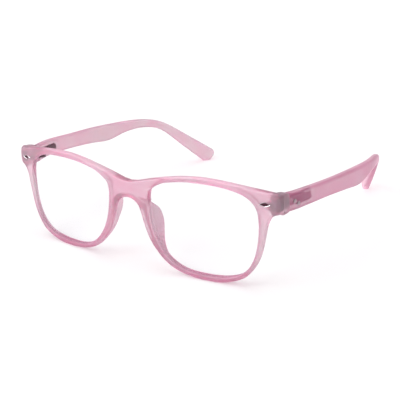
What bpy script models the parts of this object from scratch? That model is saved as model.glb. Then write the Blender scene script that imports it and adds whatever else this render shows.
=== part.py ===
"""Blue light glasses: a one-piece moulded front with its nose pads, two clear lenses,
two folding temples, three-barrel riveted hinges and two pointed trim rivets.

Run with: blender --background --python part.py
The script draws in millimetres and writes metres. +Z is up, +X is the wearer's left and
the open temples reach back along +Y. The origin is the middle of the bottom of the box.
"""
import math

import bpy
from mathutils import Matrix, Vector

MM = 0.001
SIDES = {"left": 1, "right": -1}

# Front: one curved sheet that leans back as it rises.
FACE_RADIUS = 347.6
FACE_LEAN = 0.0475
RIM_DEPTH = 3.2
EDGE_ROUND = 0.7
CORNER_ROUND = 2.2
INNER_BEVEL = 0.35
STEPS_PER_SPAN = 3

# Rounding of the rim's other edges: how far in, and how far forward of the back face.
MIDWAY_OF_ROUND = 0.29
SIDE_DEPTH = 1.8
BACK_ROUND = (0.45, 0.6)
BACK_FACE_INSET = 1.1
BACK_FACE_SHARE = 0.3
ROUND_TO_SIDE = 0.3
OPENING_FLARE = (1.2, 0.9, 0.15)
OPENING_BEVEL = 0.55

# Each station of the half front: opening edge (x, z), outer edge (x, z), depth of the
# back edge, and how far that edge moves from the outer edge (0) to the opening edge (1).
FRONT_STATIONS = [
    ((12.25, 36.55), (0.0, 38.35), 4.5, 0.0),
    ((17.7, 39.8), (10.9, 40.8), 4.45, 0.0),
    ((22.1, 41.0), (18.45, 42.65), 4.05, 0.0),
    ((28.5, 42.05), (26.5, 44.2), 3.75, 0.0),
    ((35.5, 42.4), (35.5, 45.05), 3.6, 0.0),
    ((42.5, 42.3), (43.5, 44.9), 3.6, 0.0),
    ((49.5, 41.6), (51.5, 44.2), 3.7, 0.0),
    ((55.0, 40.25), (59.5, 43.15), 4.0, 0.0),
    ((58.45, 38.45), (66.55, 42.25), 4.2, 0.0),
    ((60.5, 36.5), (71.1, 41.35), 4.15, 0.0),
    ((61.5, 34.8), (72.25, 37.4), 3.8, 0.0),
    ((62.15, 32.75), (71.55, 33.65), 3.55, 0.0),
    ((62.45, 30.25), (68.2, 32.2), 3.3, 0.0),
    ((62.6, 27.0), (66.25, 28.5), 3.2, 0.0),
    ((62.35, 22.5), (65.1, 22.7), 3.1, 0.0),
    ((61.6, 17.45), (63.95, 17.15), 3.15, 0.0),
    ((60.2, 12.7), (62.25, 12.15), 3.3, 0.0),
    ((57.65, 8.2), (59.55, 7.65), 3.55, 0.0),
    ((53.8, 5.15), (55.75, 3.8), 3.65, 0.0),
    ((48.85, 3.45), (49.9, 1.3), 3.55, 0.0),
    ((42.95, 2.65), (43.2, 0.0), 3.4, 0.0),
    ((36.55, 2.5), (36.3, 0.0), 3.25, 0.0),
    ((30.05, 2.95), (29.3, 0.85), 3.15, 0.0),
    ((24.65, 4.55), (23.45, 2.5), 3.15, 0.1),
    ((20.15, 7.4), (18.5, 5.3), 3.45, 0.3),
    ((16.55, 11.55), (13.85, 9.85), 5.25, 0.6),
    ((14.0, 16.1), (10.7, 14.35), 7.75, 0.8),
    ((12.35, 20.8), (8.55, 19.3), 9.35, 0.85),
    ((11.4, 25.25), (6.95, 24.45), 8.85, 0.75),
    ((11.0, 28.2), (5.5, 28.15), 6.2, 0.55),
    ((10.85, 30.2), (3.15, 30.15), 4.45, 0.0),
    ((10.8, 31.8), (0.0, 30.9), 4.25, 0.0),
    ((11.2, 34.15), (0.0, 34.2), 4.35, 0.0),
]
LAST_CURVED_STATION = 31

# The end piece's corner is rounded more than the rim: its station, and how many stations
# away the extra rounding starts to fade and has gone.
CORNER_STATION = 10
CORNER_FADE = (0.8, 2.0)

# Nose pads: the depth of a full pad, half its thickness, and its front and base depths.
PAD_DEPTH = 8.5
PAD_HALF_THICKNESS = 0.8
PAD_SIDE = (0.25, 2.6)
PAD_BASE = 0.2

# Lens groove and lens, measured back from the front face.
GROOVE_BACK = 1.6
GROOVE_HALF_WIDTH = 0.75
GROOVE_DEPTH = 0.7
LENS_CENTRE = (36.8, 22.6)
LENS_EDGE_GAP = 0.15
LENS_INTO_GROOVE = 0.45
LENS_HALF_EDGE = 0.6
LENS_FRONT_BULGE = 1.3
LENS_BACK_BULGE = 0.8
LENS_RINGS = (0.8, 0.5, 0.22)

# End piece leg, from inside the front to the butt with the temple.
BUTT_Y = 17.0
BUTT_GAP = 0.15
LEG_SECTIONS = [
    # y, inner x, outer x, bottom z, top z
    (10.5, 66.5, 71.2, 33.4, 40.6),
    (12.0, 66.6, 72.0, 32.4, 41.1),
    (14.5, 67.0, 71.9, 32.1, 40.9),
    (BUTT_Y - BUTT_GAP, 67.2, 71.6, 32.0, 40.3),
]
SECTION_ROUND = 0.9
SECTION_POINTS = 4

# Temple stations: centre x, y, z, height and thickness.
TEMPLE_STATIONS = [
    (69.2, BUTT_Y + BUTT_GAP, 35.8, 7.9, 4.0),
    (70.8, 22.0, 35.55, 7.8, 3.9),
    (72.3, 30.5, 35.05, 7.6, 3.7),
    (73.2, 46.0, 33.3, 7.4, 3.6),
    (73.7, 61.0, 31.45, 8.0, 3.6),
    (73.3, 74.0, 29.6, 8.6, 3.6),
    (72.15, 87.0, 29.3, 5.85, 3.6),
    (69.25, 99.4, 28.0, 4.5, 3.5),
    (64.7, 110.2, 24.0, 4.3, 3.5),
    (57.05, 121.2, 13.15, 6.5, 3.5),
    (49.3, 131.3, 2.5, 8.4, 3.4),
]
TEMPLE_STEPS = 4
TEMPLE_ROUND_SHARE = 0.4
TEMPLE_ROUND_LIMIT = 1.3
TIP_ROUNDING = ((0.7, 0.95), (1.6, 0.82), (2.3, 0.55))

# The open temples stand on the flats that this box cuts across their tips.
BELOW_TIP = ((30.0, 110.0, -20.0), (80.0, 150.0, 0.0))

# Hinge: three barrels on one screw, a block in the front and a plate in the temple.
AXIS = (64.5, BUTT_Y)
BARREL_RADIUS = 1.35
BORE_RADIUS = 0.6
BARREL_LEVELS = ((34.9, 36.0), (36.1, 37.2), (37.3, 38.4))
ANCHOR_Y = (10.0, 16.3)
ANCHOR_X = (66.5, 70.0)
ANCHOR_Z = (34.6, 38.2)
POCKET_GAP = 0.1
TAB_LENGTH = 2.4
TAB_INTO_BLOCK = 0.5
TAB_STEP = 0.4
TEMPLE_TAB_START = 0.4
TEMPLE_TAB_GAP = 0.05
PLATE_START = 0.1
PLATE_LENGTH = 15.4
PLATE_HEIGHT = 3.5
PLATE_END_ROUND = 1.4
PLATE_END_POINTS = 5
PLATE_TILT = math.radians(4.5)
PLATE_LEVEL = 35.9
PLATE_THICKNESS = 1.2
PLATE_PROUD = 0.5
TEMPLE_FACE_ANGLE = math.radians(14)
RIVET_PLACES = ((3.6, 0.55), (5.8, -0.75))

SCREW_RADIUS = 0.5
SCREW_HEAD_RADIUS = 1.1
SCREW_HEAD_HEIGHT = 0.4
SCREW_SLOT = (0.3, 0.2)
SCREW_HEAD_GAP = 0.02

RIVET_RADIUS = 0.55
RIVET_HEAD_RADIUS = 0.85
RIVET_HEAD_HEIGHT = 0.25
RIVET_REACH = 4.35
RIVET_HEAD_OVERLAP = 0.05
RIVET_HOLE_SPAN = (-2.0, 8.0)
HOLE_GAP = 0.06

TRIM_CENTRE = (65.6, 37.6)
TRIM_LENGTH = 5.3
TRIM_HEIGHT = 2.0
TRIM_THICKNESS = 0.6
TRIM_POINTEDNESS = 1.6
TRIM_BASE = 0.02
TRIM_EDGE_HEIGHT = 0.2
TRIM_SPINE_SHARE = 0.7
TRIM_SHANK = (0.5, 1.6)

# Cutters reach this far past what they cut.
CUT_MARGIN = 1.0

ROUND_SEGMENTS = 16
SMOOTH_ANGLE = math.radians(40)
MIDDLE_TOLERANCE = 0.000001


def material(name, colour, roughness, metallic=0.0, alpha=1.0):
    result = bpy.data.materials.new(name)
    result.use_nodes = True
    shader = result.node_tree.nodes["Principled BSDF"]
    shader.inputs["Base Color"].default_value = (*colour, 1.0)
    shader.inputs["Roughness"].default_value = roughness
    shader.inputs["Metallic"].default_value = metallic
    shader.inputs["Alpha"].default_value = alpha
    result.diffuse_color = (*colour, alpha)
    return result


def solid(name, points, faces, look):
    """A mesh object from points in millimetres."""
    mesh = bpy.data.meshes.new(name)
    mesh.from_pydata([Vector(point) * MM for point in points], [], faces)
    mesh.validate()
    mesh.materials.append(look)
    mesh.shade_smooth()
    mesh.set_sharp_from_angle(angle=SMOOTH_ANGLE)
    result = bpy.data.objects.new(name, mesh)
    bpy.context.scene.collection.objects.link(result)
    return result


def loft(name, rings, look):
    """A closed solid through rings of equally many points, with flat ends."""
    count = len(rings[0])
    points = [point for ring in rings for point in ring]
    faces = [tuple(reversed(range(count)))]
    for row in range(len(rings) - 1):
        for column in range(count):
            after = (column + 1) % count
            start, end = row * count, (row + 1) * count
            faces.append((start + column, start + after, end + after, end + column))
    last = (len(rings) - 1) * count
    faces.append(tuple(range(last, last + count)))
    return solid(name, points, faces, look)


def combine(target, other, operation):
    """Union or cut with the exact solver, applied, and the other solid removed."""
    modifier = target.modifiers.new(operation.lower(), "BOOLEAN")
    modifier.operation = operation
    modifier.solver = "EXACT"
    modifier.object = other
    with bpy.context.temp_override(object=target, active_object=target):
        bpy.ops.object.modifier_apply(modifier=modifier.name)
    bpy.data.objects.remove(other, do_unlink=True)


def cylinder(name, radius, low, high, look, segments=ROUND_SEGMENTS):
    """An upright cylinder on the Z axis."""
    def ring(z):
        turn = 2 * math.pi / segments
        return [(radius * math.cos(turn * i), radius * math.sin(turn * i), z) for i in range(segments)]
    return loft(name, [ring(low), ring(high)], look)


def box(name, low, high, look):
    def ring(z):
        return [(low[0], low[1], z), (high[0], low[1], z), (high[0], high[1], z), (low[0], high[1], z)]
    return loft(name, [ring(low[2]), ring(high[2])], look)


def place(target, matrix):
    """Move the points of a solid, with the matrix in millimetres."""
    scale = Matrix.Scale(MM, 4)
    target.data.transform(scale @ matrix @ scale.inverted())
    if matrix.determinant() < 0:
        target.data.flip_normals()
    return target


def mirrored(target, side):
    """The part of the given side from one drawn on +X."""
    if side < 0:
        place(target, Matrix.Diagonal((-1, 1, 1, 1)))
    return target


def spline_point(before, start, end, after, t):
    """Catmull-Rom point between start and end."""
    return tuple(
        0.5 * (2 * b + (c - a) * t + (2 * a - 5 * b + 4 * c - d) * t * t + (3 * b - a - 3 * c + d) * t ** 3)
        for a, b, c, d in zip(before, start, end, after)
    )


def spline(points, steps, closed):
    """Points along a smooth curve through all the points, closed or between its end points."""
    if closed:
        points = [points[-1], *points, points[0], points[1]]
    else:
        points = [points[0], *points, points[-1]]
    return guided_spline(points, steps) + ([] if closed else [tuple(points[-1])])


def guided_spline(points, steps):
    """The same, with a first and last point that only guide the curve."""
    result = []
    for near in zip(points, points[1:], points[2:], points[3:]):
        result += [spline_point(*near, step / steps) for step in range(steps)]
    return result


def face_y(x, z):
    """Depth of the front face at a place on it."""
    return x * x / (2 * FACE_RADIUS) + FACE_LEAN * z


def on_front(place_xz, back):
    x, z = place_xz
    return (x, face_y(x, z) + back, z)


def normals(curve, closed):
    """Unit normals on the left of the direction of travel."""
    count = len(curve)
    result = []
    for i in range(count):
        before = curve[(i - 1) % count] if closed or i > 0 else curve[i]
        after = curve[(i + 1) % count] if closed or i < count - 1 else curve[i]
        across = Vector((before[1] - after[1], after[0] - before[0]))
        result.append(across.normalized())
    return result


def opening_curve():
    return spline([station[0] for station in FRONT_STATIONS], STEPS_PER_SPAN, True)


def outer_curve():
    """The rim's outer edge, and then straight up the middle of the bridge."""
    points = [station[1] for station in FRONT_STATIONS]
    curved = points[:LAST_CURVED_STATION + 1]
    beyond = [(-x, z) for x, z in (curved[1], curved[-2])]
    curve = guided_spline([beyond[0], *curved, beyond[1]], STEPS_PER_SPAN) + [curved[-1]]
    middle = points[LAST_CURVED_STATION:] + [points[0]]
    for start, end in zip(middle, middle[1:]):
        for step in range(1, STEPS_PER_SPAN + 1):
            t = step / STEPS_PER_SPAN
            curve.append((0.0, start[1] + (end[1] - start[1]) * t))
    return [(max(x, 0.0), max(z, 0.0)) for x, z in curve[:-1]]


def corner_share(station):
    """How much of the end piece's extra rounding applies: 1 at its corner, 0 away from it."""
    start, end = CORNER_FADE
    return 1 - min(max((abs(station - CORNER_STATION) - start) / (end - start), 0.0), 1.0)


def rim_section(near, far, out, into, depth, shift, rounding):
    """One cross-section, from the opening's front edge around the back to its groove."""
    pad = min((depth - RIM_DEPTH) / (PAD_DEPTH - RIM_DEPTH), 1.0) if shift > 0 else 0.0
    width = (near - far).length
    along = (near - far) / width
    rear = far + along * width * shift
    flare, mouth, wall = OPENING_FLARE
    inset = min(BACK_FACE_INSET, width * BACK_FACE_SHARE)
    part_round = rounding * MIDWAY_OF_ROUND
    back_in, back_up = BACK_ROUND
    pad_reach, pad_depth = PAD_SIDE

    def mix(plain, padded):
        return plain + (padded - plain) * pad

    return [
        on_front(near, INNER_BEVEL),
        on_front(near + out * INNER_BEVEL, 0),
        on_front(far + into * rounding, 0),
        on_front(far + into * part_round, part_round),
        on_front(far, rounding),
        on_front(
            mix(far, far + along * width * shift * pad_reach),
            mix(max(SIDE_DEPTH, rounding + ROUND_TO_SIDE), pad_depth),
        ),
        on_front(mix(far + into * back_in, rear - along * PAD_HALF_THICKNESS), depth - back_up),
        on_front(mix(far + into * inset, rear), depth),
        on_front(
            mix(near + out * flare, rear + along * PAD_HALF_THICKNESS),
            mix(depth, depth - back_up),
        ),
        on_front(near + out * mouth, mix(RIM_DEPTH, RIM_DEPTH + PAD_BASE)),
        on_front(near + out * wall, RIM_DEPTH - OPENING_BEVEL),
        on_front(near, GROOVE_BACK + GROOVE_HALF_WIDTH),
        on_front(near + out * GROOVE_DEPTH, GROOVE_BACK),
        on_front(near, GROOVE_BACK - GROOVE_HALF_WIDTH),
    ]


def front_rings():
    """Cross-sections all around one opening."""
    inner, outer = opening_curve(), outer_curve()
    outs = normals(inner, True)
    edge = normals(outer[:LAST_CURVED_STATION * STEPS_PER_SPAN + 1], False)
    intos = [-normal for normal in edge] + [Vector((0, 0))] * (len(outer) - len(edge))
    intos[0] = Vector((0, -1))
    intos[len(edge) - 1] = Vector((0, 1))
    values = spline([station[2:] for station in FRONT_STATIONS], STEPS_PER_SPAN, True)
    rings = []
    for i, (near, far) in enumerate(zip(inner, outer)):
        depth = max(values[i][0], RIM_DEPTH)
        shift = min(max(values[i][1], 0.0), 1.0)
        rounding = EDGE_ROUND + (CORNER_ROUND - EDGE_ROUND) * corner_share(i / STEPS_PER_SPAN)
        rings.append(rim_section(Vector(near), Vector(far), outs[i], intos[i], depth, shift, rounding))
    return rings


def front_shell(look):
    """Half the front, swept around one opening, with its mirror image joined to it."""
    rings = front_rings()
    count, size = len(rings), len(rings[0])
    points = [point for ring in rings for point in ring]
    faces = []
    for row in range(count):
        for column in range(size):
            after_row, after = (row + 1) % count, (column + 1) % size
            here, there = row * size, after_row * size
            corners = (here + column, here + after, there + after, there + column)
            if any(abs(points[corner][0]) > MIDDLE_TOLERANCE for corner in corners):
                faces.append(tuple(reversed(corners)))
    shell = solid("front_frame", points, faces, look)
    mirror = shell.modifiers.new("mirror", "MIRROR")
    mirror.use_clip = True
    mirror.merge_threshold = MIDDLE_TOLERANCE
    with bpy.context.temp_override(object=shell, active_object=shell):
        bpy.ops.object.modifier_apply(modifier=mirror.name)
    return shell


def rounded_section(width, height, rounding):
    """Points around a rounded rectangle, in its own plane, counted anticlockwise."""
    points = []
    for turn, (sx, sy) in enumerate(((1, 1), (-1, 1), (-1, -1), (1, -1))):
        for step in range(SECTION_POINTS):
            angle = math.radians(90 * turn + 90 * step / (SECTION_POINTS - 1))
            points.append((
                sx * (width / 2 - rounding) + rounding * math.cos(angle),
                sy * (height / 2 - rounding) + rounding * math.sin(angle),
            ))
    return points


def end_piece_leg(side, look):
    rings = []
    for y, inner, outer, bottom, top in LEG_SECTIONS:
        middle, level = (inner + outer) / 2, (bottom + top) / 2
        section = rounded_section(outer - inner, top - bottom, SECTION_ROUND)
        rings.append([(middle + a, y, level + b) for a, b in reversed(section)])
    return mirrored(loft("leg", rings, look), side)


def hinge_pocket(side, look):
    low = (ANCHOR_X[0] - CUT_MARGIN, ANCHOR_Y[0] - POCKET_GAP, ANCHOR_Z[0] - POCKET_GAP)
    high = (ANCHOR_X[1] + POCKET_GAP, ANCHOR_Y[1] + POCKET_GAP, ANCHOR_Z[1] + POCKET_GAP)
    return mirrored(box("pocket", low, high, look), side)


def trim_matrix():
    """A frame on the front face with its Z axis straight out of it."""
    x, z = TRIM_CENTRE
    out = Vector((x / FACE_RADIUS, -1, FACE_LEAN)).normalized()
    along = Vector((1, x / FACE_RADIUS, 0)).normalized()
    up = out.cross(along)
    matrix = Matrix((along, up, out)).transposed().to_4x4()
    matrix.translation = Vector(on_front(TRIM_CENTRE, 0))
    return matrix


def trim_hole(side, look):
    radius, reach = TRIM_SHANK
    hole = cylinder("hole", radius + HOLE_GAP, -reach - HOLE_GAP, CUT_MARGIN, look)
    return mirrored(place(hole, trim_matrix()), side)


def front_frame(look):
    front = front_shell(look)
    for side in SIDES.values():
        combine(front, end_piece_leg(side, look), "UNION")
        combine(front, hinge_pocket(side, look), "DIFFERENCE")
        combine(front, trim_hole(side, look), "DIFFERENCE")
    return front


def lens(name, side, look):
    """A plano shell whose bevelled edge stands in the rim's groove."""
    edge = opening_curve()
    out = normals(edge, True)
    centre = Vector(LENS_CENTRE)
    corner = [Vector(point) - out[i] * LENS_EDGE_GAP for i, point in enumerate(edge)]
    apex = [Vector(point) + out[i] * LENS_INTO_GROOVE for i, point in enumerate(edge)]

    def shell(scale, sign, bulge):
        back = GROOVE_BACK + sign * LENS_HALF_EDGE - bulge * (1 - scale * scale)
        return [on_front(centre + (point - centre) * scale, back) for point in corner]

    scales = (1.0, *LENS_RINGS)
    rings = [shell(scale, -1, LENS_FRONT_BULGE) for scale in reversed(scales)]
    rings.append([on_front(point, GROOVE_BACK) for point in apex])
    rings += [shell(scale, 1, LENS_BACK_BULGE) for scale in scales]
    return mirrored(loft(name, rings, look), side)


def temple_curve():
    return spline(TEMPLE_STATIONS, TEMPLE_STEPS, False)


def temple_section(centre, direction, height, thickness):
    side = Vector((direction.y, -direction.x, 0)).normalized()
    up = side.cross(direction)
    rounding = min(thickness * TEMPLE_ROUND_SHARE, TEMPLE_ROUND_LIMIT)
    section = rounded_section(thickness, height, rounding)
    return [centre + side * a + up * b for a, b in section]


def temple_rings():
    curve = temple_curve()
    rings = []
    for i, (x, y, z, height, thickness) in enumerate(curve):
        before, after = curve[max(i - 1, 0)], curve[min(i + 1, len(curve) - 1)]
        direction = (Vector(after[:3]) - Vector(before[:3])).normalized()
        if i == 0:
            direction = Vector((0, 1, 0))
        rings.append(temple_section(Vector((x, y, z)), direction, height, thickness))
    centre = Vector(curve[-1][:3])
    for reach, share in TIP_ROUNDING:
        height, thickness = curve[-1][3:]
        section = temple_section(centre + direction * reach, direction, height * share, thickness * share)
        rings.append(section)
    return [list(reversed(ring)) for ring in rings]


def plate_matrix():
    """A frame at the hinge plate: Y along the plate, X out through the temple."""
    x, y, z = TEMPLE_STATIONS[0][:3]
    matrix = Matrix.Rotation(-TEMPLE_FACE_ANGLE, 4, "Z") @ Matrix.Rotation(-PLATE_TILT, 4, "X")
    matrix.translation = Vector((x - TEMPLE_STATIONS[0][4] / 2, y, PLATE_LEVEL))
    return matrix


def plate(name, gap, margin, look):
    """The hinge plate, round at its rear end, or with a gap and a margin its pocket's cutter."""
    half = PLATE_HEIGHT / 2 + gap
    rounding = PLATE_END_ROUND + gap
    start, end = PLATE_START - gap - margin, PLATE_START + PLATE_LENGTH + gap
    outline = [(start, half), (start, -half)]
    for corner, first_angle in ((-1, -90), (1, 0)):
        for step in range(PLATE_END_POINTS):
            angle = math.radians(first_angle + 90 * step / (PLATE_END_POINTS - 1))
            outline.append((
                end - rounding + rounding * math.cos(angle),
                corner * (half - rounding) + rounding * math.sin(angle),
            ))
    inside, outside = -PLATE_PROUD - margin, PLATE_THICKNESS - PLATE_PROUD + gap
    rings = [[(x, *point) for point in outline] for x in (inside, outside)]
    return place(loft(name, rings, look), plate_matrix())


def rivet_matrix(along, above):
    """A frame at a rivet's place in the plate, with its Z axis out through the temple."""
    return plate_matrix() @ Matrix.Translation((0, along, above)) @ Matrix.Rotation(math.radians(90), 4, "Y")


def rivet_hole(where, look):
    hole = cylinder("hole", RIVET_RADIUS + HOLE_GAP, *RIVET_HOLE_SPAN, look)
    return place(hole, rivet_matrix(*where))


def temple(name, side, look):
    body = loft(name, temple_rings(), look)
    combine(body, plate("pocket", POCKET_GAP, CUT_MARGIN, look), "DIFFERENCE")
    for where in RIVET_PLACES:
        combine(body, rivet_hole(where, look), "DIFFERENCE")
    combine(body, box("table", *BELOW_TIP, look), "DIFFERENCE")
    return mirrored(body, side)


def barrel(level, look):
    low, high = BARREL_LEVELS[level]
    return place(cylinder("barrel", BARREL_RADIUS, low, high, look), Matrix.Translation((*AXIS, 0)))


def bore(look):
    low, high = BARREL_LEVELS[0][0] - CUT_MARGIN, BARREL_LEVELS[2][1] + CUT_MARGIN
    hole = cylinder("bore", BORE_RADIUS, low, high, look)
    return place(hole, Matrix.Translation((*AXIS, 0)))


def front_hinge(name, side, look):
    hinge = box(name, *zip(ANCHOR_X, ANCHOR_Y, ANCHOR_Z), look)
    for level in (0, 2):
        bottom, top = BARREL_LEVELS[level]
        low = (AXIS[0], AXIS[1] - TAB_LENGTH, bottom)
        high = (ANCHOR_X[0] + TAB_INTO_BLOCK, ANCHOR_Y[1] - TAB_STEP, min(top, ANCHOR_Z[1]))
        tab = box("tab", low, high, look)
        combine(hinge, tab, "UNION")
        combine(hinge, barrel(level, look), "UNION")
    combine(hinge, bore(look), "DIFFERENCE")
    return mirrored(hinge, side)


def temple_hinge(name, side, look):
    hinge = plate(name, 0, 0, look)
    bottom, top = BARREL_LEVELS[1]
    tab_x = TEMPLE_STATIONS[0][0] - TEMPLE_STATIONS[0][4] / 2 - TEMPLE_TAB_GAP
    tab = box("tab", (AXIS[0], AXIS[1] + TEMPLE_TAB_START, bottom), (tab_x, AXIS[1] + TAB_LENGTH, top), look)
    combine(hinge, tab, "UNION")
    combine(hinge, barrel(1, look), "UNION")
    combine(hinge, bore(look), "DIFFERENCE")
    for where in RIVET_PLACES:
        combine(hinge, rivet_hole(where, look), "DIFFERENCE")
    return mirrored(hinge, side)


def hinge_screw(name, side, look):
    top = BARREL_LEVELS[2][1]
    screw = cylinder(name, SCREW_RADIUS, BARREL_LEVELS[0][0], top + SCREW_HEAD_HEIGHT / 2, look)
    head = cylinder("head", SCREW_HEAD_RADIUS, top + SCREW_HEAD_GAP, top + SCREW_HEAD_HEIGHT, look)
    combine(screw, head, "UNION")
    width, depth = SCREW_SLOT
    low = (-SCREW_HEAD_RADIUS * 2, -width / 2, top + SCREW_HEAD_HEIGHT - depth)
    high = (SCREW_HEAD_RADIUS * 2, width / 2, top + SCREW_HEAD_HEIGHT + CUT_MARGIN)
    combine(screw, box("slot", low, high, look), "DIFFERENCE")
    return mirrored(place(screw, Matrix.Translation((*AXIS, 0))), side)


def temple_rivet(name, where, side, look):
    """A shank through the hinge plate and the temple, with a low head outside."""
    rivet = cylinder(name, RIVET_RADIUS, -PLATE_PROUD, RIVET_REACH, look)
    low, high = RIVET_REACH - RIVET_HEAD_OVERLAP, RIVET_REACH + RIVET_HEAD_HEIGHT
    combine(rivet, cylinder("head", RIVET_HEAD_RADIUS, low, high, look), "UNION")
    return mirrored(place(rivet, rivet_matrix(*where)), side)


def trim_rivet(name, side, look):
    """A pointed oval head with a raised spine, on a short shank."""
    def outline(scale, height):
        half_length, half_height = TRIM_LENGTH / 2 * scale, TRIM_HEIGHT / 2 * scale
        points = []
        for i in range(ROUND_SEGMENTS):
            angle = 2 * math.pi * i / ROUND_SEGMENTS
            x = math.cos(angle)
            y = math.copysign(1 - abs(x) ** TRIM_POINTEDNESS, math.sin(angle))
            points.append((half_length * x, half_height * y, height))
        return points

    layers = ((1.0, TRIM_BASE), (1.0, TRIM_EDGE_HEIGHT), (TRIM_SPINE_SHARE, TRIM_THICKNESS))
    head = loft(name, [outline(*layer) for layer in layers], look)
    radius, reach = TRIM_SHANK
    combine(head, cylinder("shank", radius, -reach, TRIM_EDGE_HEIGHT, look), "UNION")
    return mirrored(place(head, trim_matrix()), side)


def centre_box(objects):
    """Stand the whole thing on its origin: middle of the bottom of the box."""
    corners = [point.co for item in objects for point in item.data.vertices]
    low_y, high_y = min(c.y for c in corners), max(c.y for c in corners)
    low_z = min(c.z for c in corners)
    return Vector((0, -(low_y + high_y) / 2, -low_z))


def hang(items, pivot):
    """Put each item under the empty that stands on its joint's axis."""
    for item in items:
        item.data.transform(Matrix.Translation(-pivot.location))
        item.parent = pivot


def empty(name, location):
    result = bpy.data.objects.new(name, None)
    result.location = location
    result.empty_display_size = 0.01
    bpy.context.scene.collection.objects.link(result)
    return result


def main():
    for item in list(bpy.data.objects):
        bpy.data.objects.remove(item, do_unlink=True)
    plastic = material("frosted_pink_plastic", (0.82, 0.42, 0.58), 0.5)
    clear = material("clear_lens", (0.92, 0.94, 0.98), 0.05, alpha=0.25)
    dark_metal = material("hinge_metal", (0.35, 0.32, 0.33), 0.35, metallic=1.0)
    chrome = material("bright_trim", (0.8, 0.8, 0.82), 0.15, metallic=1.0)

    fixed = [front_frame(plastic)]
    moving = {}
    for word, side in SIDES.items():
        fixed.append(lens(f"lens_{word}", side, clear))
        fixed.append(front_hinge(f"front_hinge_{word}", side, dark_metal))
        fixed.append(hinge_screw(f"hinge_screw_{word}", side, dark_metal))
        fixed.append(trim_rivet(f"front_rivet_{word}", side, chrome))
        moving[word] = [
            temple(f"temple_{word}", side, plastic),
            temple_hinge(f"temple_hinge_{word}", side, dark_metal),
        ]
        for order, where in zip(("front", "rear"), RIVET_PLACES):
            moving[word].append(temple_rivet(f"temple_rivet_{word}_{order}", where, side, chrome))

    everything = fixed + moving["left"] + moving["right"]
    shift = centre_box(everything)
    for item in everything:
        item.data.transform(Matrix.Translation(shift))
    for word, side in SIDES.items():
        pivot = empty(f"{word}_temple_pivot", Vector((AXIS[0] * side, AXIS[1], 0)) * MM + shift)
        hang(moving[word], pivot)


main()
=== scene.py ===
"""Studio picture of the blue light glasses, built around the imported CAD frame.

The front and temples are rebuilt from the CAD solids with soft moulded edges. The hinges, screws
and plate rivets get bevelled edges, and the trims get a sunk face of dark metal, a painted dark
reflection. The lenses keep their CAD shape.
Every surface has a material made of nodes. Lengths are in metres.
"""
import math

import bmesh
import bpy
from mathutils import Matrix, Vector


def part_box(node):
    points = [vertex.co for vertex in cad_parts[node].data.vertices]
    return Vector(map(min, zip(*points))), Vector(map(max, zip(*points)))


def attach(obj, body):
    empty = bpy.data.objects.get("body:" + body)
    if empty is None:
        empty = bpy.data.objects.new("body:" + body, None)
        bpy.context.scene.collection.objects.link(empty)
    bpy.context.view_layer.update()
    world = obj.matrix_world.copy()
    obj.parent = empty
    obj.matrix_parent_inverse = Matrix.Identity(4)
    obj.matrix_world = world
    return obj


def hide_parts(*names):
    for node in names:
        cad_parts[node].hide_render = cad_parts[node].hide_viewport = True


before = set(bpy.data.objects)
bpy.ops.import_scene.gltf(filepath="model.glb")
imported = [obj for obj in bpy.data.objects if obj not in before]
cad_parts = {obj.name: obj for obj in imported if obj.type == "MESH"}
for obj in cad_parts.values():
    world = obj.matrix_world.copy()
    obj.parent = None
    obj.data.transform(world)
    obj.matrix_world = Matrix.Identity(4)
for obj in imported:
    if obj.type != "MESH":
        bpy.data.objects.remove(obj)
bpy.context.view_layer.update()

MM = 0.001
# The wearer's left is +X.
SIDES = {"left": 1, "right": -1}


# ---------------------------------------------------------------- material nodes

# The Mix node's colour sockets share their names with its other sockets, so they go by place.
FIRST_COLOUR, SECOND_COLOUR = 6, 7
MIXED_COLOUR = 2


def new_material(name):
    result = bpy.data.materials.new(name)
    result.use_nodes = True
    tree = result.node_tree
    return result, tree, tree.nodes["Principled BSDF"]


def noise(tree, scale, detail):
    place = tree.nodes.new("ShaderNodeTexCoord")
    node = tree.nodes.new("ShaderNodeTexNoise")
    node.inputs["Scale"].default_value = scale
    node.inputs["Detail"].default_value = detail
    tree.links.new(place.outputs["Object"], node.inputs["Vector"])
    return node.outputs["Fac"]


def ramp(tree, source, low, high, over=(0, 1)):
    """Map a value in the range over to the range low to high."""
    node = tree.nodes.new("ShaderNodeMapRange")
    node.inputs["From Min"].default_value, node.inputs["From Max"].default_value = over
    node.inputs["To Min"].default_value = low
    node.inputs["To Max"].default_value = high
    tree.links.new(source, node.inputs["Value"])
    return node.outputs["Result"]


def separated(tree, source):
    node = tree.nodes.new("ShaderNodeSeparateXYZ")
    tree.links.new(source, node.inputs["Vector"])
    return node.outputs


def calculated(tree, operation, first, second=None):
    """A Math node. The second value, where there is one, is a number or a node's output."""
    node = tree.nodes.new("ShaderNodeMath")
    node.operation = operation
    tree.links.new(first, node.inputs[0])
    if isinstance(second, (int, float)):
        node.inputs[1].default_value = second
    elif second is not None:
        tree.links.new(second, node.inputs[1])
    return node.outputs["Value"]


def blended(tree, factor, first, second, how="MIX"):
    """Two colours blended by a node's output. The first is a colour or a node's output."""
    node = tree.nodes.new("ShaderNodeMix")
    node.data_type = "RGBA"
    node.blend_type = how
    tree.links.new(factor, node.inputs["Factor"])
    if isinstance(first, tuple):
        node.inputs[FIRST_COLOUR].default_value = (*first, 1)
    else:
        tree.links.new(first, node.inputs[FIRST_COLOUR])
    node.inputs[SECOND_COLOUR].default_value = (*second, 1)
    return node.outputs[MIXED_COLOUR]


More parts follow.
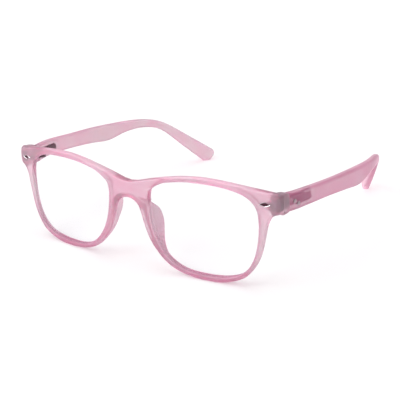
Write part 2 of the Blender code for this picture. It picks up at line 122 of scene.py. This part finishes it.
def mixed(tree, share, first, second):
    """Two shaders mixed by a number or by a node's output."""
    node = tree.nodes.new("ShaderNodeMixShader")
    if isinstance(share, float):
        node.inputs["Fac"].default_value = share
    else:
        tree.links.new(share, node.inputs["Fac"])
    tree.links.new(first, node.inputs[1])
    tree.links.new(second, node.inputs[2])
    return node.outputs["Shader"]


def bump(tree, shader, height, distance, strength=1.0):
    node = tree.nodes.new("ShaderNodeBump")
    node.inputs["Strength"].default_value = strength
    node.inputs["Distance"].default_value = distance
    tree.links.new(height, node.inputs["Height"])
    tree.links.new(node.outputs["Normal"], shader.inputs["Normal"])


# ---------------------------------------------------------------- frosted plastic

PLASTIC_IOR = 1.49
# Soft patches through the colour, pinker and greyer by turns.
CLOUD_SCALE = 75
CLOUD_RANGE = (0.38, 0.62)
PINKER = (1.0, 0.93, 0.965)
GREYER = (0.98, 1.01, 0.995)
# The heights between which painted shade deepens the colour towards the bottom edge.
SHADE_BELOW_LEVELS = (2 * MM, 16 * MM)
# The outward part of a face's direction where the painted outer shade starts, and where it is whole.
OUTER_SHADE_RANGE = (-0.4, 0.4)

SKIN_SCALE = 900
SKIN_ROUGHNESS = (0.34, 0.46)
THROUGH_ROUGHNESS = (0.08, 0.15)
GRAIN_SCALE = 5200
GRAIN_HEIGHT = 0.012 * MM
GRAIN_STRENGTH = 0.5
SCATTER_SPREAD = (1.0, 0.6, 0.75)
SCATTER_DEPTH = 3 * MM
HAZE_COLOUR = (0.87, 0.61, 0.72)
SHADOW_VEIL = (0.80, 0.76, 0.78)
DEPTH_COLOUR = (0.88, 0.39, 0.56)
UNTINTED = (1, 1, 1)


def outer_shade_mask(tree):
    """1 on faces turned away from the wearer's head and 0 on faces turned towards it: the mask for painted
    shade on the outer faces.
    """
    place = tree.nodes.new("ShaderNodeTexCoord")
    half = calculated(tree, "SIGN", separated(tree, place.outputs["Object"])["X"])
    outward = calculated(tree, "MULTIPLY", half, separated(tree, place.outputs["Normal"])["X"])
    return ramp(tree, outward, 0, 1, OUTER_SHADE_RANGE)


def tinted_with_shade_below(tree, colour, lower_shade_tint):
    """The colour with soft greyer and pinker patches, and painted shade that deepens it towards the bottom
    edge.
    """
    pinker = tuple(part * share for part, share in zip(colour, PINKER))
    greyer = tuple(part * share for part, share in zip(colour, GREYER))
    patches = ramp(tree, noise(tree, CLOUD_SCALE, 2), 0, 1, CLOUD_RANGE)
    clouded = blended(tree, patches, pinker, greyer)
    place = tree.nodes.new("ShaderNodeTexCoord")
    # Painted shade: the colour deepens towards the bottom edge, where the lower rims lie in shade.
    shade_below = ramp(tree, separated(tree, place.outputs["Object"])["Z"], 1, 0, SHADE_BELOW_LEVELS)
    return blended(tree, shade_below, clouded, lower_shade_tint, "MULTIPLY")


def scattered(tree, shader, colour, rough):
    """The light that scatters just under the satin skin."""
    tree.links.new(colour, shader.inputs["Base Color"])
    tree.links.new(rough, shader.inputs["Roughness"])
    shader.inputs["IOR"].default_value = PLASTIC_IOR
    shader.inputs["Subsurface Weight"].default_value = 1.0
    shader.inputs["Subsurface Radius"].default_value = SCATTER_SPREAD
    shader.inputs["Subsurface Scale"].default_value = SCATTER_DEPTH
    bump(tree, shader, noise(tree, GRAIN_SCALE, 2), GRAIN_HEIGHT, GRAIN_STRENGTH)
    return shader.outputs["BSDF"]


def passed(tree, colour, rough):
    """The light that goes through the plastic, softly bent at its skin."""
    glass = tree.nodes.new("ShaderNodeBsdfRefraction")
    glass.inputs["IOR"].default_value = PLASTIC_IOR
    tree.links.new(colour, glass.inputs["Color"])
    tree.links.new(rough, glass.inputs["Roughness"])
    return glass.outputs["BSDF"]


def with_haze(tree, below, rough, inside_colour):
    """The reflection off the skin: a pink haze outside, and the inside colour from within."""
    side = tree.nodes.new("ShaderNodeNewGeometry")
    haze = tree.nodes.new("ShaderNodeBsdfGlossy")
    reflected = blended(tree, side.outputs["Backfacing"], HAZE_COLOUR, inside_colour)
    tree.links.new(reflected, haze.inputs["Color"])
    tree.links.new(rough, haze.inputs["Roughness"])
    share = tree.nodes.new("ShaderNodeFresnel")
    share.inputs["IOR"].default_value = PLASTIC_IOR
    return mixed(tree, share.outputs["Fac"], below, haze.outputs["BSDF"])


def with_light_shadow(tree, surface):
    """Shadow rays go through with a pale tint, as the plastic lets most light pass."""
    path = tree.nodes.new("ShaderNodeLightPath")
    veil = tree.nodes.new("ShaderNodeBsdfTransparent")
    veil.inputs["Color"].default_value = (*SHADOW_VEIL, 1)
    return mixed(tree, path.outputs["Is Shadow Ray"], surface, veil.outputs["BSDF"])


def frosted_plastic(name, skin_colour, through_colour, milk, density, lower_shade_tint, outer_shade_tint, inside_colour):
    """Frosted translucent moulding.

    Milk is the share of light that scatters instead of going through. Density is how strongly
    the plastic colours what goes through it.
    """
    result, tree, shader = new_material(name)
    skin = noise(tree, SKIN_SCALE, 2)
    rough = ramp(tree, skin, *SKIN_ROUGHNESS)
    # Painted shade: faces turned away from the head are darkened by the outer shade tint.
    shaded_skin_colour = blended(
        tree, outer_shade_mask(tree), tinted_with_shade_below(tree, skin_colour, lower_shade_tint), outer_shade_tint, "MULTIPLY",
    )
    through = passed(tree, tinted_with_shade_below(tree, through_colour, lower_shade_tint), ramp(tree, skin, *THROUGH_ROUGHNESS))
    body = mixed(tree, milk, through, scattered(tree, shader, shaded_skin_colour, rough))
    surface = with_light_shadow(tree, with_haze(tree, body, rough, inside_colour))
    depth = tree.nodes.new("ShaderNodeVolumeAbsorption")
    depth.inputs["Color"].default_value = (*DEPTH_COLOUR, 1)
    depth.inputs["Density"].default_value = density
    output = tree.nodes["Material Output"]
    tree.links.new(surface, output.inputs["Surface"])
    tree.links.new(depth.outputs["Volume"], output.inputs["Volume"])
    return result


# ---------------------------------------------------------------- lens and metal

LENS_TINT = (0.992, 0.996, 1.0)
LENS_GLOSS_COLOUR = (0.9, 0.95, 1.0)
LENS_PATCH_SCALE = 500
LENS_ROUGHNESS = (0.02, 0.05)
# The lens reflects this share of light face on, and this share edge on.
LENS_REFLECTION = (0.012, 0.9)
# At this blend, Facing is 1 minus the cosine, and its fifth power is close to real reflection.
PLAIN_BLEND = 0.5
GRAZING_POWER = 5

METAL_PATCH_SCALE = 700
METAL_PATCH_SHADE = 0.8


def lens_resin(name):
    """Clear resin without power: it shows what is behind it unbent, under a faint reflection."""
    result, tree, shader = new_material(name)
    shader.inputs["Metallic"].default_value = 1.0
    shader.inputs["Base Color"].default_value = (*LENS_GLOSS_COLOUR, 1)
    rough = ramp(tree, noise(tree, LENS_PATCH_SCALE, 2), *LENS_ROUGHNESS)
    tree.links.new(rough, shader.inputs["Roughness"])
    clear = tree.nodes.new("ShaderNodeBsdfTransparent")
    clear.inputs["Color"].default_value = (*LENS_TINT, 1)
    facing = tree.nodes.new("ShaderNodeLayerWeight")
    facing.inputs["Blend"].default_value = PLAIN_BLEND
    grazing = calculated(tree, "POWER", facing.outputs["Facing"], GRAZING_POWER)
    share = ramp(tree, grazing, *LENS_REFLECTION)
    whole = mixed(tree, share, clear.outputs["BSDF"], shader.outputs["BSDF"])
    tree.links.new(whole, tree.nodes["Material Output"].inputs["Surface"])
    return result


def metal(name, colour, roughness, grain_scale, grain_height):
    """Metal with slightly darker, rougher patches and a fine grain."""
    result, tree, shader = new_material(name)
    shader.inputs["Metallic"].default_value = 1.0
    patch = noise(tree, METAL_PATCH_SCALE, 3)
    darker = tuple(part * METAL_PATCH_SHADE for part in colour)
    tree.links.new(blended(tree, patch, colour, darker), shader.inputs["Base Color"])
    tree.links.new(ramp(tree, patch, *roughness), shader.inputs["Roughness"])
    bump(tree, shader, noise(tree, grain_scale, 2), grain_height)
    return result


FRONT_PLASTIC = frosted_plastic(
    "front_plastic",
    skin_colour=(0.67, 0.475, 0.56),
    through_colour=(0.97, 0.98, 0.98),
    milk=0.38,
    density=130,
    # The colour of the painted shade at the bottom edge.
    lower_shade_tint=(0.80, 0.68, 0.735),
    outer_shade_tint=UNTINTED,
    inside_colour=HAZE_COLOUR,
)
TEMPLE_PLASTIC = frosted_plastic(
    "temple_plastic",
    skin_colour=(0.80, 0.53, 0.635),
    through_colour=(1.0, 0.99, 0.995),
    milk=0.45,
    density=45,
    lower_shade_tint=UNTINTED,
    # Painted shade on the temples' outer faces.
    outer_shade_tint=(0.80, 0.43, 0.61),
    inside_colour=UNTINTED,
)
LENS = lens_resin("lens_resin")
NICKEL = metal("hinge_nickel", (0.14, 0.075, 0.095), (0.26, 0.40), 6000, 0.004 * MM)
CHROME = metal("trim_chrome", (0.86, 0.84, 0.86), (0.08, 0.16), 3000, 0.001 * MM)
RIVET_STEEL = metal("rivet_steel", (0.42, 0.32, 0.36), (0.30, 0.42), 5000, 0.003 * MM)
# Painted reflection: the trims' sunk faces are dark metal, standing in for the dark surroundings that the
# chrome reflects.
PAINTED_DARK_REFLECTION = metal("trim_painted_dark_reflection", (0.085, 0.035, 0.05), (0.10, 0.20), 3000, 0.001 * MM)


# ---------------------------------------------------------------- shapes

MERGE_DISTANCE = 0.0001 * MM
VOXEL = 0.2 * MM
SMOOTH_ROUNDS = 5
SMOOTH_FACTOR = 0.5
# The leg's inner face, from the middle plane. The plastic around each hinge anchor starts there.
LEG_INSIDE = 67.2 * MM
FILLING_INSET = 0.02 * MM

HINGE_BEVEL = 0.12 * MM
SCREW_BEVEL = 0.05 * MM
RIVET_BEVEL = 0.08 * MM
BEVEL_STEPS = 3
BEVEL_ABOVE = math.radians(35)
SHARP_ABOVE = math.radians(45)

# Trim: faces that meet within this angle are one, and its outer face looks forward, towards -Y.
FLAT_WITHIN = math.radians(1)
FORWARD_LIMIT = -0.9
TRIM_FACE_GROWTH = 1.28
TRIM_BORDER = 0.14 * MM
TRIM_SINK = 0.1 * MM


def link(result):
    bpy.context.scene.collection.objects.link(result)
    return result


def copy_of(node, name):
    """The CAD node's mesh in a new object of its own, without its baked normals."""
    source = bmesh.new()
    source.from_mesh(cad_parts[node].data)
    bmesh.ops.remove_doubles(source, verts=source.verts, dist=MERGE_DISTANCE)
    mesh = bpy.data.meshes.new(name)
    source.to_mesh(mesh)
    source.free()
    return link(bpy.data.objects.new(name, mesh))


def apply_modifiers(item):
    shown = item.evaluated_get(bpy.context.evaluated_depsgraph_get())
    mesh = bpy.data.meshes.new_from_object(shown)
    item.modifiers.clear()
    item.data = mesh


def block(low, high):
    """A closed box as a mesh, to fill a pocket before remeshing."""
    result = bmesh.new()
    middle, size = (low + high) / 2, high - low
    bmesh.ops.create_cube(result, size=1, matrix=Matrix.Translation(middle) @ Matrix.Diagonal((*size, 1)))
    return result


def merge_in(item, extra):
    whole = bmesh.new()
    whole.from_mesh(item.data)
    mesh = bpy.data.meshes.new("extra")
    extra.to_mesh(mesh)
    whole.from_mesh(mesh)
    whole.to_mesh(item.data)
    whole.free()
    extra.free()
    bpy.data.meshes.remove(mesh)


def moulded(item):
    """Soft moulded edges: one even skin, then a few rounds of smoothing."""
    skin = item.modifiers.new("skin", "REMESH")
    skin.mode = "VOXEL"
    skin.voxel_size = VOXEL
    skin.adaptivity = 0.0
    smooth = item.modifiers.new("smooth", "SMOOTH")
    smooth.factor = SMOOTH_FACTOR
    smooth.iterations = SMOOTH_ROUNDS
    apply_modifiers(item)
    item.data.shade_smooth()


def finish_piece(item, look, body, node):
    """Give the piece its look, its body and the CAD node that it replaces."""
    item.data.materials.clear()
    item.data.materials.append(look)
    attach(item, body)
    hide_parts(node)


def front_moulding():
    """The front, with its plastic closed around the hinge anchors."""
    item = copy_of("front_frame", "front_moulding")
    leg_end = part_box("front_frame")[1].y
    margin = Vector((FILLING_INSET,) * 3)
    for word, side in SIDES.items():
        low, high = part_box(f"front_hinge_{word}")
        high.y = min(high.y, leg_end)
        if side > 0:
            low.x = LEG_INSIDE
        else:
            high.x = -LEG_INSIDE
        merge_in(item, block(low + margin, high - margin))
    moulded(item)
    finish_piece(item, FRONT_PLASTIC, "front", "front_frame")


def temple_moulding(word):
    item = copy_of(f"temple_{word}", f"temple_moulding_{word}")
    moulded(item)
    finish_piece(item, TEMPLE_PLASTIC, f"{word}_temple", f"temple_{word}")


def bevelled(node, name, width, look, body):
    """The CAD node's shape with its sharp edges bevelled."""
    item = copy_of(node, name)
    edge = item.modifiers.new("edge", "BEVEL")
    edge.width = width
    edge.segments = BEVEL_STEPS
    edge.limit_method = "ANGLE"
    edge.angle_limit = BEVEL_ABOVE
    edge.harden_normals = True
    apply_modifiers(item)
    item.data.shade_smooth()
    item.data.set_sharp_from_angle(angle=SHARP_ABOVE)
    finish_piece(item, look, body, node)


def trim(word):
    """The trim rivet with its outer face sunk inside a bright border and made of dark metal, a painted dark
    reflection.
    """
    item = copy_of(f"front_rivet_{word}", f"trim_rivet_{word}")
    whole = bmesh.new()
    whole.from_mesh(item.data)
    bmesh.ops.dissolve_limit(whole, angle_limit=FLAT_WITHIN, verts=whole.verts, edges=whole.edges)
    forward = [face for face in whole.faces if face.normal.y < FORWARD_LIMIT]
    face = max(forward, key=lambda face: face.calc_area())
    middle = face.calc_center_median()
    for corner in face.verts:
        corner.co = middle + (corner.co - middle) * TRIM_FACE_GROWTH
    bmesh.ops.inset_region(whole, faces=[face], thickness=TRIM_BORDER, depth=-TRIM_SINK)
    whole.faces.index_update()
    sunk = face.index
    whole.to_mesh(item.data)
    whole.free()
    finish_piece(item, CHROME, "front", f"front_rivet_{word}")
    # The sunk face gets the painted dark reflection.
    item.data.materials.append(PAINTED_DARK_REFLECTION)
    item.data.polygons[sunk].material_index = 1


def hardware(word):
    """One side's hinge halves, hinge screw, trim and plate rivets."""
    temple = f"{word}_temple"
    anchor, plate, screw = (f"{part}_{word}" for part in ("front_hinge", "temple_hinge", "hinge_screw"))
    bevelled(anchor, f"front_hinge_metal_{word}", HINGE_BEVEL, NICKEL, "front")
    bevelled(plate, f"temple_hinge_metal_{word}", HINGE_BEVEL, NICKEL, temple)
    bevelled(screw, f"hinge_screw_metal_{word}", SCREW_BEVEL, CHROME, "front")
    trim(word)
    for end in ("front", "rear"):
        rivet = f"temple_rivet_{word}_{end}"
        bevelled(rivet, f"plate_rivet_{word}_{end}", RIVET_BEVEL, RIVET_STEEL, temple)


def lens(word):
    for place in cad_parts[f"lens_{word}"].material_slots:
        place.material = LENS


front_moulding()
for side_word in SIDES:
    temple_moulding(side_word)
    hardware(side_word)
    lens(side_word)


# ---------------------------------------------------------------- stage

ROOM_LIGHT = 0.5
FLOOR_HALF_SIZE = 40
FLOOR_ALBEDO = 0.87
FLOOR_ROUGHNESS = 0.9
FLOOR_GLOSS = 0.1
# Each light: the way it shines, its softness in degrees, and its strength.
SOFT_LIGHTS = {
    "top_light": ((0.1, -0.15, -1.0), 60, 1.3),
    "front_light": ((0.45, 0.85, -0.5), 60, 2.25),
}

# The camera's angles, place and lens, worked out from the photograph.
CAMERA_AZIMUTH = math.radians(36.44)
CAMERA_ELEVATION = math.radians(21.53)
CAMERA_ROLL = math.radians(-3.45)
CAMERA_PLACE = Vector((245.56, -346.29, 174.25)) * MM
# The Blender camera takes its lens and sensor in millimetres.
CAMERA_LENS = 83.26
CAMERA_SENSOR = 36
CAMERA_NEAREST = 0.01


def room():
    """Even light from all around, in front of a white backdrop."""
    world = bpy.data.worlds.new("studio")
    bpy.context.scene.world = world
    world.use_nodes = True
    tree = world.node_tree
    around = tree.nodes["Background"]
    around.inputs["Strength"].default_value = ROOM_LIGHT
    backdrop = tree.nodes.new("ShaderNodeBackground")
    for sky in (around, backdrop):
        sky.inputs["Color"].default_value = (1, 1, 1, 1)
    path = tree.nodes.new("ShaderNodeLightPath")
    whole = mixed(
        tree, path.outputs["Is Camera Ray"], around.outputs["Background"], backdrop.outputs["Background"],
    )
    tree.links.new(whole, tree.nodes["World Output"].inputs["Surface"])


def paper_floor():
    mesh = bpy.data.meshes.new("floor")
    sheet = bmesh.new()
    bmesh.ops.create_grid(sheet, x_segments=1, y_segments=1, size=FLOOR_HALF_SIZE)
    sheet.to_mesh(mesh)
    sheet.free()
    floor = link(bpy.data.objects.new("floor", mesh))
    look, _, shader = new_material("floor_paper")
    shader.inputs["Base Color"].default_value = (*[FLOOR_ALBEDO] * 3, 1)
    shader.inputs["Roughness"].default_value = FLOOR_ROUGHNESS
    shader.inputs["Specular IOR Level"].default_value = FLOOR_GLOSS
    mesh.materials.append(look)


def lights():
    for name, (toward, softness, strength) in SOFT_LIGHTS.items():
        light = bpy.data.lights.new(name, "SUN")
        light.angle = math.radians(softness)
        light.energy = strength
        item = link(bpy.data.objects.new(name, light))
        item.rotation_euler = Vector(toward).to_track_quat("-Z", "Y").to_euler()


def camera():
    azimuth, elevation, roll = CAMERA_AZIMUTH, CAMERA_ELEVATION, CAMERA_ROLL
    back = Vector((
        math.sin(azimuth) * math.cos(elevation),
        -math.cos(azimuth) * math.cos(elevation),
        math.sin(elevation),
    ))
    level = Vector((math.cos(azimuth), math.sin(azimuth), 0))
    right = math.cos(roll) * level + math.sin(roll) * back.cross(level)
    up = back.cross(right)
    eye = bpy.data.cameras.new("camera")
    eye.lens = CAMERA_LENS
    eye.sensor_width = CAMERA_SENSOR
    eye.clip_start = CAMERA_NEAREST
    item = link(bpy.data.objects.new("camera", eye))
    matrix = Matrix((right, up, back)).transposed().to_4x4()
    matrix.translation = CAMERA_PLACE
    item.matrix_world = matrix
    bpy.context.scene.camera = item


room()
paper_floor()
lights()
bpy.context.scene.view_settings.view_transform = "Standard"
camera()
